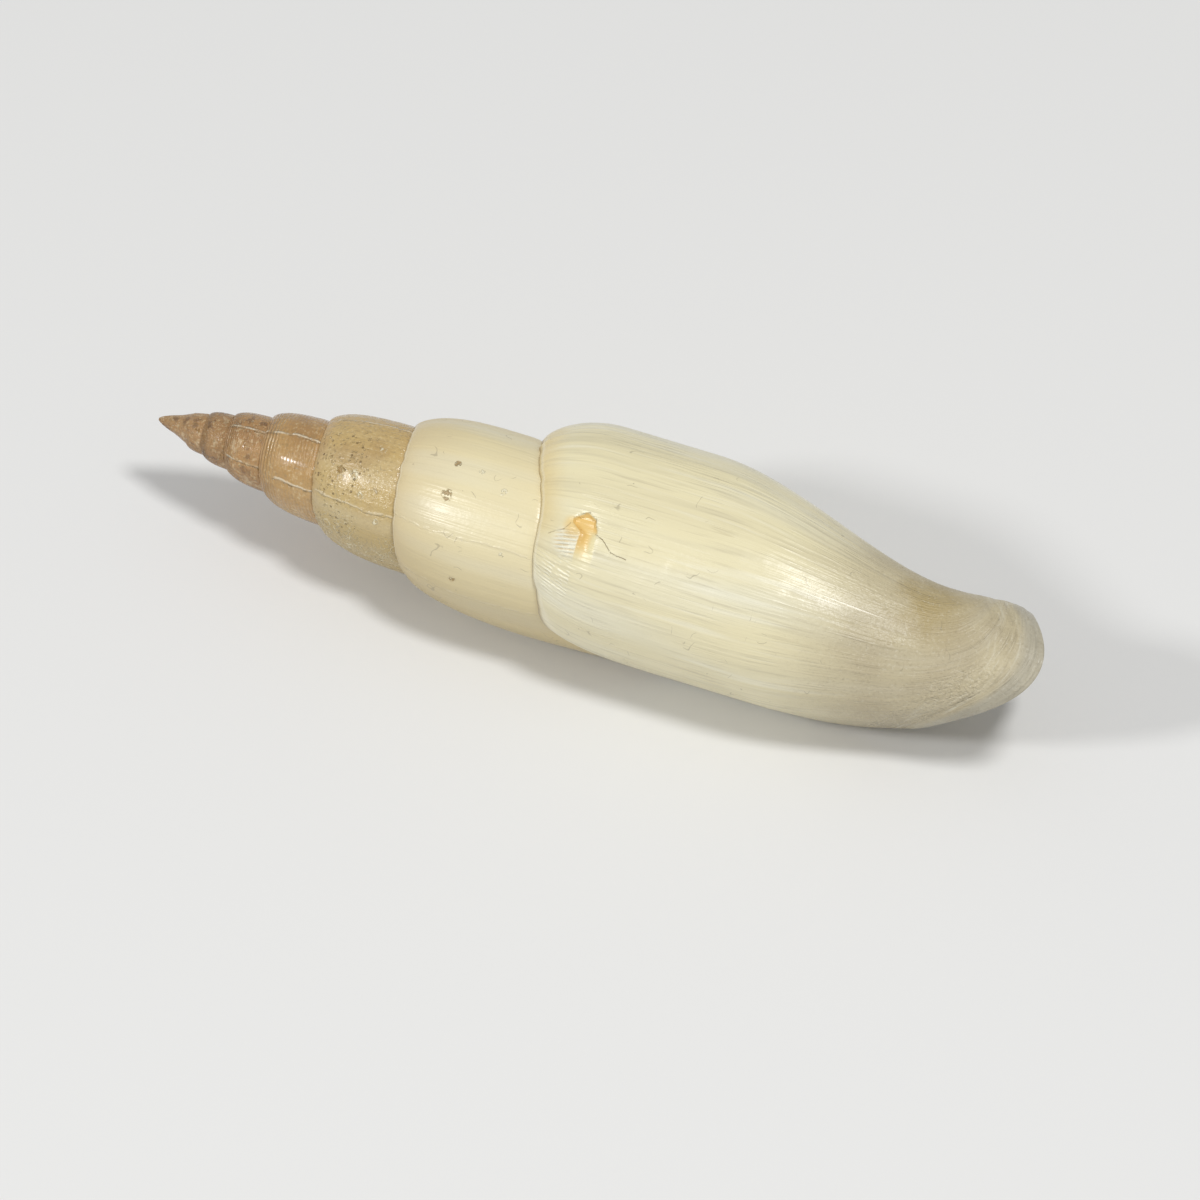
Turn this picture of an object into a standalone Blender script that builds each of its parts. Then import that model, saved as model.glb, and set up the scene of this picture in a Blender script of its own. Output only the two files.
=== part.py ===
"""Miter shell: one grown piece, lying on its aperture side.

The shell is built in its own frame first.  Its coiling axis is +X, with the apex at
x = 0 and the siphonal end at x = LENGTH.  A bearing runs round that axis in the
direction of growth: 0 degrees is the middle of the back, 90 degrees the lip's side.
A turn counts the growth, from 0 at the apex to TURNS at the lip.  The outer skin
follows one growth rule, whorl after whorl, and the living chamber is cut out of it
by a solid swept along the same rule.
"""
import math

import bmesh
import bpy
from mathutils import Matrix, Vector

# Driving dimensions, in metres, and angles, in radians.
LENGTH = 0.110
BODY_RADIUS = 0.1330 * LENGTH           # greatest radius, half a turn before the lip
LIP_RADIUS = 0.1060 * LENGTH            # radius along the straight part of the lip
LIP_FLARE = 0.0090 * LENGTH             # how far its edge turns out
LIP_FLARE_START = 0.93                  # growth at which it starts to
WALL = 0.0115 * LENGTH                  # thickness of the shell wall at the lip
GLAZE = 0.0015 * LENGTH                 # enamel that the animal lays on the inner lip
COLUMELLA_RADIUS = 0.030 * LENGTH       # pillar in the middle of the aperture
LIP_BEARING = math.radians(120)         # where growth stopped

# Rest: the roll about the axis that lays the shell on its lip and the body beside it.
REST_ROLL = math.radians(42.4)

# Coiling.
TURNS = 8
WHORL_RATIO = 1.507                     # each whorl is this much longer than the last
LIP_SUTURE = 0.511 * LENGTH             # where the regular spiral would end
DROP_START = 0.583                      # turns before the lip where the suture drops
LATE_DROP = 0.067 * LENGTH              # drop of the suture half a turn after that
DROP_POWER = 4                          # how sharply the drop sets in
DROP_EASE = 1.35                        # how the drop eases off before the lip
ASKEW = 0.108                           # slide of the sutures along x for each unit of y
SPIRE_SPREAD = 0.2385                   # growth of the suture's radius along the axis
APEX_RADIUS = 0.0082 * LENGTH
APEX_LENGTH = 0.03 * LENGTH
SPIRE_WAIST = 0.365 * LENGTH            # how far the spire's sides bend in again
WHORL_BULGE = 0.048                     # roundness of a whorl for each unit of length
BULGE_LEAN = 0.6                        # under 1, it is roundest near its own suture
HIDDEN_TAPER = 0.22 * LENGTH            # run of a covered whorl down to the columella

# Body whorl.  Growth runs from 0 at the start of this last turn to 1 at the lip.
SWELL_START = 0.25                      # until here it changes from a whorl of the spire
SWELL_PEAK = 0.417
SHOULDER_LENGTH = 0.085 * LENGTH        # on the back
UNDER_SHOULDER = 0.050 * LENGTH         # at the lip and on the side that it lies on
SHOULDER_LEAN = 0.7                     # under 1, the shoulder is full close to the suture
TAPER_START = (0.488 * LENGTH, 0.27 * LENGTH)   # at growth 0, and what growth 1 adds
TAPER_END = (0.774 * LENGTH, 0.29 * LENGTH)
NECK_RADIUS = 0.0685 * LENGTH           # waist above the siphonal end, on the left
LIP_NECK_RADIUS = 0.053 * LENGTH
SIPHON_FLARE = 0.005 * LENGTH
SIPHON_FLARE_ZONE = (0.88 * LENGTH, 0.98 * LENGTH)
TIP_TAPER = (0.82 * LENGTH, 0.6)        # where the columella narrows, and by how much
TIP_OFFSET = 0.022 * LENGTH             # the siphonal end's middle, left of the axis
TIP_CURVE = 8.5 / LENGTH                # roundness of the siphonal end, seen from above
TIP_SLANT = 0.30                        # how far the end leans over its open side
RIM_ROUND = (0.03 * LENGTH, 0.006 * LENGTH)     # length and depth of the rolled-in rim
RIM_ROLL_START = 0.3                    # growth at which the rim is fully rolled in

# Columellar folds: place at the lip and height, for each unit of length.
FOLDS = ((0.695, 0.0075), (0.732, 0.0060), (0.764, 0.0045), (0.791, 0.0030))
FOLD_ZONE = (0.67 * LENGTH, 0.81 * LENGTH)
FOLD_WIDTH = 0.009 * LENGTH
FOLD_LENGTH = 0.22                      # turns from the inner lip to a fold's end

# Healed scar on the shoulder of the body whorl.  Pairs run along x, then along the growth.
SCAR_BEARING = math.radians(-13)        # its peak, where the lip was broken back to
SCAR_X = 0.519 * LENGTH
SCAR_DEPTH = 0.0065 * LENGTH
SCAR_WIDTH = (0.005 * LENGTH, 0.014 * LENGTH)       # half width at its peak, and below
SCAR_LEAN = 0.25
SCAR_EDGE = (0.008 * LENGTH, 0.030 * LENGTH)        # growth to full depth, and to full width
SCAR_FADE = (0.018 * LENGTH, 0.053 * LENGTH)
KNOB_PLACE = (-0.017 * LENGTH, 0.042 * LENGTH)      # bump beside it, from its peak
KNOB_SIZE = (0.013 * LENGTH, 0.018 * LENGTH)
KNOB_HEIGHT = 0.0036 * LENGTH
SCAR_REACH = 0.038 * LENGTH             # along the shell, to each side of the peak
SCAR_GROWTH = (-0.012 * LENGTH, 0.066 * LENGTH)     # along the growth, from the peak
SCAR_CUTS = 2                           # of each edge of the grid there

# Living chamber.
CHAMBER_TURNS = 2.6
CHAMBER_LENGTH = 0.40 * LENGTH          # at the lip's scale, where it is closed
LEAST_GAP = 0.006 * LENGTH
YOUNG_WALL = 0.2                        # a young wall is this much thicker for its scale
FOLD_PLACES = (0.15, 0.45)              # least share of the chamber before and at the folds
SECTION_STEPS = (3, 12, 4)              # before, across and after the folds
WALL_STEPS = 8                          # back along the outer wall
CHAMBER_STATIONS = (32, 16)             # for each turn: in its last half turn, and before
MOUTH_TURNS = 0.06                      # how far the cutter stands out of the mouth
CUTTER_FLARE = 0.25 * LENGTH            # and clears the inner lip, for each turn beyond
CUTTER_END = 1.08 * LENGTH
CANAL_OPENS = (0.20, 0.42)              # growth over which the siphonal canal opens

# Grid of the outer skin.
STATIONS = 36
SCAR_STATIONS = math.radians(25)        # bearings up to here have twice as many
COLUMN_SPREAD = (0, 0.03, 0.09, 0.19, 0.36, 0.57, 0.79)     # places along a whorl
BASE_STEPS = ((4, 0.68), (10, 0.81), (6, 1.0))  # columns up to each part of the length
BARE_STEP = 0.12 * LENGTH               # run of those columns that growth adds
CAP_RINGS = 2                           # across the siphonal end
RIM_TRIES = 14                          # each brings the rim closer to where it is cut off
RIM_STEP = 0.6


def share(value, low, high):
    """How far a value is from low to high, between 0 and 1."""
    return min(max((value - low) / (high - low), 0.0), 1.0)


def ease(value, low, high):
    """The same share, with a soft start and end."""
    along = share(value, low, high)
    return along * along * (3 - 2 * along)


def mix(low, high, amount):
    return low + (high - low) * amount


def bearing_of(turn):
    return LIP_BEARING + 2 * math.pi * (turn - TURNS)


def scale_of(turn):
    """Size of the whorl at a turn, against the whorl at the lip."""
    return WHORL_RATIO ** (turn - TURNS)


def suture(turn):
    """Place along the axis, and radius, of the suture at a turn."""
    late = max(turn - (TURNS - DROP_START), 0.0)
    drop = (2 * min(late, DROP_START)) ** DROP_POWER
    drop *= DROP_EASE / (1 + (DROP_EASE - 1) * drop)
    start = min(turn, 1.0)
    x = LIP_SUTURE * scale_of(turn) * start + LATE_DROP * drop
    radius = APEX_RADIUS + SPIRE_SPREAD * x - SPIRE_WAIST * (x / LENGTH) ** 4
    radius *= math.sqrt(ease(x, 0, APEX_LENGTH))
    return x - ASKEW * radius * math.sin(bearing_of(turn)) * start, radius


def columella_radius(turn, x):
    narrow_start, narrowing = TIP_TAPER
    narrowed = 1 - narrowing * ease(x, narrow_start, LENGTH)
    return COLUMELLA_RADIUS * scale_of(turn + 1) * narrowed


def whorl_radius(turn, x):
    """Skin of a whorl: bulging down to the next suture, then hidden and tapering."""
    start, start_radius = suture(turn)
    end, end_radius = suture(min(turn + 1, TURNS))
    if x <= end:
        along = share(x, start, end)
        bulge = WHORL_BULGE * start * math.sin(math.pi * along ** BULGE_LEAN)
        return mix(start_radius, end_radius, along) + bulge
    taper_end = end + HIDDEN_TAPER * scale_of(turn + 1)
    taper = (share(x, end, taper_end) + ease(x, end, taper_end)) / 2
    return mix(end_radius, columella_radius(turn, x), taper)


def body_radius(turn, x):
    """Skin of the body whorl: shoulder, swollen body, and taper to the neck."""
    growth = turn - (TURNS - 1)
    start, start_radius = suture(turn)
    full = mix(BODY_RADIUS, LIP_RADIUS, min((2 * (growth - SWELL_PEAK)) ** 2, 1))
    full += LIP_FLARE * ease(growth, LIP_FLARE_START, 1)
    back = ease(growth, 0, SWELL_PEAK) * (1 - ease(growth, LIP_FLARE_START, 1))
    along = share(x, start, start + mix(UNDER_SHOULDER, SHOULDER_LENGTH, back))
    shoulder = mix(start_radius, full, math.sin(math.pi / 2 * along ** SHOULDER_LEAN))
    if growth < SWELL_PEAK:
        neck = mix(columella_radius(turn, x), NECK_RADIUS, ease(growth, 0, SWELL_PEAK))
    else:
        neck = mix(NECK_RADIUS, LIP_NECK_RADIUS, ease(growth, SWELL_PEAK, 1))
    flare = SIPHON_FLARE * ease(x, *SIPHON_FLARE_ZONE) * ease(growth, 0, SWELL_START)
    taper_start = TAPER_START[0] + TAPER_START[1] * growth
    taper_end = TAPER_END[0] + TAPER_END[1] * growth
    return mix(shoulder, neck, ease(x, taper_start, taper_end)) + flare


def fold_height(turn, x):
    """Ridges of the columella, in the chamber at a turn, that wind on with its growth."""
    height = 0.0
    for place, rise in FOLDS:
        offset = (x - place * LENGTH * scale_of(turn)) / FOLD_WIDTH
        height += rise * LENGTH * math.exp(-offset * offset)
    return height


def scar_relief(turn, x):
    """The healed break: a peaked recess that fades towards the lip, and a knob beside it."""
    since = (bearing_of(turn) - SCAR_BEARING) * BODY_RADIUS
    along = x - SCAR_X
    width = mix(*SCAR_WIDTH, ease(since, 0, SCAR_EDGE[1]))
    side = (along - SCAR_LEAN * since) / width
    recess = math.exp(-side ** 4) * ease(since, 0, SCAR_EDGE[0]) * (1 - ease(since, *SCAR_FADE))
    across = (along - KNOB_PLACE[0]) / KNOB_SIZE[0]
    around = (since - KNOB_PLACE[1]) / KNOB_SIZE[1]
    return KNOB_HEIGHT * math.exp(-across ** 2 - around ** 2) - SCAR_DEPTH * recess


def skin_radius(turn, x):
    """Outer skin at a turn and a place along the axis."""
    growth = turn - (TURNS - 1)
    if growth < 0:
        return whorl_radius(turn, x)
    radius = body_radius(turn, x)
    if growth < SWELL_START:
        radius = mix(whorl_radius(turn, x), radius, ease(growth, 0, SWELL_START))
    return radius + fold_height(turn + 1, x) * (1 - ease(growth, 0, FOLD_LENGTH))


def tip_end(y, height):
    """Where the siphonal end is cut off: round from above, and leaning over its open side."""
    return LENGTH - TIP_CURVE * (y - TIP_OFFSET) ** 2 + TIP_SLANT * height


def rim_x(turn):
    """Place along the axis where the skin of this turn meets the siphonal end."""
    x = LENGTH
    for _ in range(RIM_TRIES):
        spot = place(turn, x, skin_radius(turn, x))
        x = mix(x, tip_end(spot.y, spot.z), RIM_STEP)
    return x


def place(turn, x, radius):
    bearing = bearing_of(turn)
    return Vector((x, -radius * math.sin(bearing), radius * math.cos(bearing)))


def station_turns():
    """Fractions of a turn where the grid has a row, closer together at the scar."""
    fractions = []
    for step in range(STATIONS):
        fraction = step / STATIONS
        fractions.append(fraction)
        halfway = fraction + 0.5 / STATIONS
        if abs(bearing_of(TURNS - 1 + halfway)) < SCAR_STATIONS:
            fractions.append(halfway)
    return fractions


def row_places(turn):
    """Places along the axis of one row's columns, from the suture to the rim."""
    start = suture(turn)[0]
    end = suture(min(turn + 1, TURNS))[0]
    growth = turn - (TURNS - 1)
    if growth >= 0:
        end += BARE_STEP * growth
    places = [mix(start, end, spread) for spread in COLUMN_SPREAD]
    if growth < 0:
        return places
    places.append(end)
    low = suture(TURNS)[0]
    share = (rim_x(turn) - end) / (LENGTH - low)
    step_start = low
    for count, limit in BASE_STEPS:
        for step in range(1, count + 1):
            station = mix(step_start, limit * LENGTH, step / count)
            places.append(end + (station - low) * share)
        step_start = limit * LENGTH
    return places


def rolled_radius(turn, x, rim):
    """Skin radius, drawn in where the wall rolls over the siphonal rim."""
    length, depth = RIM_ROUND
    rolled = share(x, rim - length, rim)
    growth = turn - (TURNS - 1)
    return skin_radius(turn, x) - depth * rolled ** 2 * ease(growth, 0, RIM_ROLL_START)


def add_rows(grid, turns, per_turn):
    """Rows of vertices; each row ends on the suture where a row one turn later starts."""
    rows = []
    for turn in turns:
        places = row_places(turn)
        if turn < TURNS - 1:
            radii = [skin_radius(turn, x) for x in places]
        else:
            radii = [rolled_radius(turn, x, places[-1]) for x in places]
        rows.append([grid.verts.new(place(turn, x, r)) for x, r in zip(places, radii)])
    for row, next_whorl in zip(rows, rows[per_turn:-1]):
        if len(row) == len(COLUMN_SPREAD):
            row.append(next_whorl[0])
    body_start = rows[-1 - per_turn]
    grid.verts.remove(body_start[len(COLUMN_SPREAD)])
    body_start[len(COLUMN_SPREAD)] = rows[-1][0]
    return rows


def close_apex(grid, rows, per_turn):
    """Fan between the pole and the first turn of the suture."""
    pole = rows[0][0]
    for index in range(1, per_turn - 1):
        grid.faces.new((pole, rows[index + 1][0], rows[index][0]))
    grid.faces.new(rows[0] + [rows[per_turn - 1][0]])


def close_siphonal_end(grid, rim):
    """Rings that shrink from the rim to the middle of the siphonal end."""
    centre = sum((vert.co for vert in rim), Vector()) / len(rim)
    outer = rim
    for ring in range(CAP_RINGS, 0, -1):
        inner = [grid.verts.new(centre.lerp(vert.co, ring / (CAP_RINGS + 1))) for vert in rim]
        for index in range(len(rim)):
            grid.faces.new((outer[index], outer[index - 1], inner[index - 1], inner[index]))
        outer = inner
    middle = grid.verts.new(centre)
    for index in range(len(rim)):
        grid.faces.new((outer[index], outer[index - 1], middle))


def turn_at(spot):
    """Turn of a place on the back of the body whorl."""
    bearing = math.atan2(-spot.y, spot.z)
    return TURNS + (bearing - LIP_BEARING) / (2 * math.pi)


def near_scar(spot):
    since = (math.atan2(-spot.y, spot.z) - SCAR_BEARING) * BODY_RADIUS
    low, high = SCAR_GROWTH
    return abs(spot.x - SCAR_X) < SCAR_REACH and low < since < high


def press_scar(grid):
    """Refine the skin round the healed break and press its relief into it."""
    faces = [face for face in grid.faces if near_scar(face.calc_center_median())]
    edges = list({edge for face in faces for edge in face.edges})
    bmesh.ops.subdivide_edges(grid, edges=edges, cuts=SCAR_CUTS, use_grid_fill=True)
    for vert in grid.verts:
        if near_scar(vert.co):
            turn = turn_at(vert.co)
            x = vert.co.x
            vert.co = place(turn, x, skin_radius(turn, x) + scar_relief(turn, x))


def make_outer_skin():
    """Closed solid of the whole outside, with a flat step in the mouth."""
    fractions = station_turns()
    per_turn = len(fractions)
    turns = [whorl + fraction for whorl in range(TURNS) for fraction in fractions]
    turns.append(TURNS)
    grid = bmesh.new()
    rows = add_rows(grid, turns, per_turn)
    for row, following in zip(rows, rows[1:]):
        for column in range(min(len(row), len(following)) - 1):
            grid.faces.new((row[column], following[column],
                            following[column + 1], row[column + 1]))
    close_apex(grid, rows, per_turn)
    body_start = rows[-1 - per_turn]
    grid.faces.new(rows[-1] + body_start[:len(COLUMN_SPREAD):-1])
    close_siphonal_end(grid, [row[-1] for row in rows[-1 - per_turn:]])
    press_scar(grid)
    return finished_mesh(grid, "shell")


def finished_mesh(grid, name):
    bmesh.ops.recalc_face_normals(grid, faces=grid.faces)
    mesh = bpy.data.meshes.new(name)
    grid.to_mesh(mesh)
    grid.free()
    return mesh


def chamber_walls(turn, x):
    """Inner and outer radius of the living chamber in the half plane of a turn."""
    beyond = max(turn - TURNS, 0.0)
    if beyond > 0:
        inner = skin_radius(turn - 1, x)
    else:
        inner = whorl_radius(turn - 1, x) + fold_height(turn, x)
    outer = skin_radius(min(turn, TURNS), min(x, LENGTH))
    wall = WALL * min(1.0, scale_of(turn) + YOUNG_WALL)
    return inner + GLAZE + CUTTER_FLARE * beyond, outer - wall


def chamber_range(turn):
    """Where the chamber starts and ends along the axis in the half plane of a turn."""
    scale = scale_of(turn)
    start = suture(min(turn, TURNS))[0]
    closed = start + CHAMBER_LENGTH * scale
    inner, outer = chamber_walls(turn, start)
    while outer - inner < LEAST_GAP * scale:
        start += WALL / 4
        inner, outer = chamber_walls(turn, start)
    growth = turn - (TURNS - 1)
    return start, mix(closed, CUTTER_END, ease(growth, *CANAL_OPENS))


def chamber_section(turn):
    """Outline of the chamber in one half plane: along the pillar, and back on the wall."""
    start, end = chamber_range(turn)
    fold_start = max(FOLD_ZONE[0] * scale_of(turn), mix(start, end, FOLD_PLACES[0]))
    fold_end = max(FOLD_ZONE[1] * scale_of(turn), mix(start, end, FOLD_PLACES[1]))
    before, across, after = SECTION_STEPS
    places = [mix(start, fold_start, step / before) for step in range(before)]
    places += [mix(fold_start, fold_end, step / across) for step in range(across)]
    places += [mix(fold_end, end, step / after) for step in range(after + 1)]
    spots = [(x, chamber_walls(turn, x)[0]) for x in places]
    for step in range(WALL_STEPS + 1):
        x = mix(end, start, step / WALL_STEPS)
        inner, outer = chamber_walls(turn, x)
        spots.append((x, max(outer, inner + LEAST_GAP * scale_of(turn) / 2)))
    return spots


def make_chamber():
    """Cutter for the living chamber, the aperture and the siphonal canal."""
    grid = bmesh.new()
    rings = []
    turn = TURNS + MOUTH_TURNS
    while turn > TURNS - CHAMBER_TURNS:
        rings.append([grid.verts.new(place(turn, x, r)) for x, r in chamber_section(turn)])
        turn -= 1 / CHAMBER_STATIONS[0] if turn > TURNS - 0.5 else 1 / CHAMBER_STATIONS[1]
    for ring, following in zip(rings, rings[1:]):
        for index in range(len(ring)):
            grid.faces.new((ring[index - 1], ring[index], following[index], following[index - 1]))
    grid.faces.new(rings[0])
    grid.faces.new(rings[-1])
    return finished_mesh(grid, "chamber cutter")


def shell_material():
    material = bpy.data.materials.new("ivory shell")
    material.use_nodes = True
    finish = material.node_tree.nodes["Principled BSDF"]
    finish.inputs["Base Color"].default_value = (0.78, 0.70, 0.50, 1)
    finish.inputs["Roughness"].default_value = 0.28
    finish.inputs["Metallic"].default_value = 0.0
    return material


def lay_down(shell):
    """Roll the shell to its rest, over the origin and with its lowest point at z = 0."""
    roll = Matrix.Rotation(REST_ROLL, 3, "X")
    spots = [roll @ vert.co for vert in shell.data.vertices]
    lows = [min(spot[axis] for spot in spots) for axis in range(3)]
    highs = [max(spot[axis] for spot in spots) for axis in range(3)]
    shell.rotation_euler.x = REST_ROLL
    shell.location = (-(lows[0] + highs[0]) / 2, -(lows[1] + highs[1]) / 2, -lows[2])


def main():
    for item in list(bpy.data.objects):
        bpy.data.objects.remove(item)

    shell = bpy.data.objects.new("shell", make_outer_skin())
    bpy.context.collection.objects.link(shell)
    shell.data.materials.append(shell_material())
    shell.data.shade_smooth()
    shell.data.set_sharp_from_angle(angle=math.radians(40))

    cutter = bpy.data.objects.new("chamber cutter", make_chamber())
    bpy.context.collection.objects.link(cutter)
    cutter.hide_render = True
    cutter.display_type = "WIRE"

    hollow = shell.modifiers.new("living chamber", "BOOLEAN")
    hollow.operation = "DIFFERENCE"
    hollow.solver = "EXACT"
    hollow.object = cutter

    lay_down(shell)
    cutter.location = shell.location
    cutter.rotation_euler = shell.rotation_euler


main()
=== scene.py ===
import math

import bpy
from mathutils import Matrix, Vector, noise


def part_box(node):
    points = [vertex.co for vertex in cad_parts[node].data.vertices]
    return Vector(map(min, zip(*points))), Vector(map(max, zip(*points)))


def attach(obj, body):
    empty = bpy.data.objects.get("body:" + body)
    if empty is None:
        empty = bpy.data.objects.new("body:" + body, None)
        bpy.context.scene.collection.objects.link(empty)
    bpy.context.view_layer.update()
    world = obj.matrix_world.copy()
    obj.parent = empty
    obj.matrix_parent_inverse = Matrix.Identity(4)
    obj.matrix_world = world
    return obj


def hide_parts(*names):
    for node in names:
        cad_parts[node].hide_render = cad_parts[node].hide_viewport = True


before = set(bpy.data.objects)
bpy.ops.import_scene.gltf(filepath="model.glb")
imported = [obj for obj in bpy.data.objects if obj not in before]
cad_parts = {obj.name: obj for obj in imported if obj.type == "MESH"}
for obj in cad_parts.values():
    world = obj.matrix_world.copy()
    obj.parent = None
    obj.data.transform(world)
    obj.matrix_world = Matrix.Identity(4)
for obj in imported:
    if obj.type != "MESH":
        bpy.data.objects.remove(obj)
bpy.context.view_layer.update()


# Shell.  One piece of aragonite that the animal grew by adding to its lip, turn after
# turn round the pillar in the middle.  Its skin follows one growth rule: a turn counts
# the growth, from 0 at the apex to TURNS at the lip, and a bearing runs round the axis.

# Overall sizes, the wall, and how it lies.
LENGTH = 0.110
BODY_RADIUS = 0.1330 * LENGTH
LIP_RADIUS = 0.1060 * LENGTH
LIP_FLARE = 0.0090 * LENGTH
LIP_FLARE_START = 0.93
WALL = 0.0115 * LENGTH
GLAZE = 0.0015 * LENGTH
PILLAR_RADIUS = 0.030 * LENGTH
LIP_BEARING = math.radians(120)
REST_ROLL = math.radians(42.4)

# The sutures down the spire, and the whorls between them.
TURNS = 8
WHORL_RATIO = 1.507
LIP_SUTURE = 0.511 * LENGTH
DROP_START = 0.583
LATE_DROP = 0.067 * LENGTH
DROP_POWER = 4
DROP_EASE = 1.35
ASKEW = 0.108
SPIRE_SPREAD = 0.2385
APEX_RADIUS = 0.0082 * LENGTH
APEX_LENGTH = 0.03 * LENGTH
SPIRE_WAIST = 0.365 * LENGTH
WHORL_BULGE = 0.048
BULGE_LEAN = 0.6
HIDDEN_TAPER = 0.22 * LENGTH

# The body whorl, from its shoulder to the siphonal end.
SWELL_START = 0.25
SWELL_PEAK = 0.417
SHOULDER_LENGTH = 0.085 * LENGTH
UNDER_SHOULDER = 0.050 * LENGTH
SHOULDER_LEAN = 0.7
TAPER_START = (0.488 * LENGTH, 0.27 * LENGTH)
TAPER_END = (0.774 * LENGTH, 0.29 * LENGTH)
NECK_RADIUS = 0.0685 * LENGTH
LIP_NECK_RADIUS = 0.053 * LENGTH
SIPHON_FLARE = 0.005 * LENGTH
SIPHON_FLARE_ZONE = (0.88 * LENGTH, 0.98 * LENGTH)
TIP_TAPER = (0.82 * LENGTH, 0.6)
TIP_OFFSET = 0.022 * LENGTH
TIP_CURVE = 8.5 / LENGTH
TIP_SLANT = 0.30
RIM_ROUND = (0.03 * LENGTH, 0.006 * LENGTH)
RIM_ROLL_START = 0.3
BARE_STEP = 0.12 * LENGTH
RIM_TRIES = 14
RIM_STEP = 0.6

# Folds of the pillar: place and height, as shares of the length.
FOLDS = ((0.695, 0.0075), (0.732, 0.0060), (0.764, 0.0045), (0.791, 0.0030))
FOLD_WIDTH = 0.009 * LENGTH
FOLD_LENGTH = 0.22

# Growth lines, and the wander and groove of the sutures.
WRAP_START = 0.84 * LENGTH
WRAP_POWER = 3
LINE_BEND = 0.03
BEND_LENGTH = 0.005
BEND_GROWTH = (0.60, 0.85)
CRINKLE = 0.00022
CRINKLES_IN_TURN = 48
SUTURE_WANDER = ((7.63, 0.080, 0.0155 * LENGTH), (7.835, 0.045, -0.0180 * LENGTH))
SUTURE_GROOVE = 0.00018
SUTURE_GROOVE_WIDTH = 0.0004
WIDE_GROOVE_TURNS = (7.74, 7.84)
RELIEF_FREE = 0.02 * LENGTH
RELIEF_GAIN = 1.4

# Ripples: width in degrees of growth, length along the axis, place in the noise, height.
RIPPLES = ((15, 0.025, 3.1, 0.00010), (4.2, 0.014, 7.7, 0.000045), (1.9, 0.008, 1.3, 0.000018))

# The nucleus, and the rings that close the apex and the siphonal end.
BULGE_ONSET = 0.6           # turns over which the bulge between sutures sets in
FIRST_TURN = 1.25           # up to here, the nucleus that the animal hatched in
NUCLEUS_ROUND = (0.024 * LENGTH, 0.4)
NUCLEUS_RINGS = (0.85, 0.82, 0.8, 0.75, 0.7, 0.6, 0.5, 0.3)
RIM_RINGS = (0.9, 0.75, 0.6)

ROWS = 200                  # rows of the grid in each turn
WHORL_COLUMNS = 30          # columns from a suture to the next
BODY_COLUMNS = 104          # and on down to the siphonal rim
CROWDING = 0.08             # how much closer they lie at the sutures


def share(value, low, high):
    """How far a value is from low to high, between 0 and 1."""
    return min(max((value - low) / (high - low), 0.0), 1.0)


def ease(value, low, high):
    """The same share, with a soft start and end."""
    along = share(value, low, high)
    return along * along * (3 - 2 * along)


def mix(low, high, amount):
    """From low to high by an amount."""
    return low + (high - low) * amount


def bearing_of(turn):
    return LIP_BEARING + 2 * math.pi * (turn - TURNS)


def scale_of(turn):
    return WHORL_RATIO ** (turn - TURNS)


def suture(turn):
    """Place along the axis, and radius, of the suture at a turn."""
    late = max(turn - (TURNS - DROP_START), 0.0)
    drop = (2 * min(late, DROP_START)) ** DROP_POWER
    drop *= DROP_EASE / (1 + (DROP_EASE - 1) * drop)
    start = min(turn, 1.0)
    x = LIP_SUTURE * scale_of(turn) * start + LATE_DROP * drop
    radius = APEX_RADIUS + SPIRE_SPREAD * x - SPIRE_WAIST * (x / LENGTH) ** 4
    radius *= math.sqrt(ease(x, 0, APEX_LENGTH))
    crinkle = noise.noise(Vector((turn * CRINKLES_IN_TURN, 0.0, 9.0)))
    wander = CRINKLE * crinkle * scale_of(turn) ** 0.5 * start
    for centre, width, shift in SUTURE_WANDER:
        wander += shift * math.exp(-((turn - centre) / width) ** 2)
    return x - ASKEW * radius * math.sin(bearing_of(turn)) * start + wander, radius


def pillar_radius(turn, x):
    narrow_start, narrowing = TIP_TAPER
    narrowed = 1 - narrowing * ease(x, narrow_start, LENGTH)
    return PILLAR_RADIUS * scale_of(turn + 1) * narrowed


def whorl_radius(turn, x):
    """Skin of a whorl: bulging down to the next suture, then hidden and tapering."""
    start, start_radius = suture(turn)
    end, end_radius = suture(min(turn + 1, TURNS))
    if x <= end:
        along = share(x, start, end)
        bulge = WHORL_BULGE * start * math.sin(math.pi * along ** BULGE_LEAN)
        bulge *= ease(turn, FIRST_TURN, FIRST_TURN + BULGE_ONSET)
        return mix(start_radius, end_radius, along) + bulge
    taper_end = end + HIDDEN_TAPER * scale_of(turn + 1)
    taper = (share(x, end, taper_end) + ease(x, end, taper_end)) / 2
    return mix(end_radius, pillar_radius(turn, x), taper)


def body_radius(turn, x):
    """Skin of the body whorl: shoulder, swollen body, and taper to the neck."""
    growth = turn - (TURNS - 1)
    start, start_radius = suture(turn)
    full = mix(BODY_RADIUS, LIP_RADIUS, min((2 * (growth - SWELL_PEAK)) ** 2, 1))
    full += LIP_FLARE * ease(growth, LIP_FLARE_START, 1)
    back = ease(growth, 0, SWELL_PEAK) * (1 - ease(growth, LIP_FLARE_START, 1))
    along = share(x, start, start + mix(UNDER_SHOULDER, SHOULDER_LENGTH, back))
    shoulder = mix(start_radius, full, math.sin(math.pi / 2 * along ** SHOULDER_LEAN))
    if growth < SWELL_PEAK:
        neck = mix(pillar_radius(turn, x), NECK_RADIUS, ease(growth, 0, SWELL_PEAK))
    else:
        neck = mix(NECK_RADIUS, LIP_NECK_RADIUS, ease(growth, SWELL_PEAK, 1))
    flare = SIPHON_FLARE * ease(x, *SIPHON_FLARE_ZONE) * ease(growth, 0, SWELL_START)
    taper_start = TAPER_START[0] + TAPER_START[1] * growth
    taper_end = TAPER_END[0] + TAPER_END[1] * growth
    return mix(shoulder, neck, ease(x, taper_start, taper_end)) + flare


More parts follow.
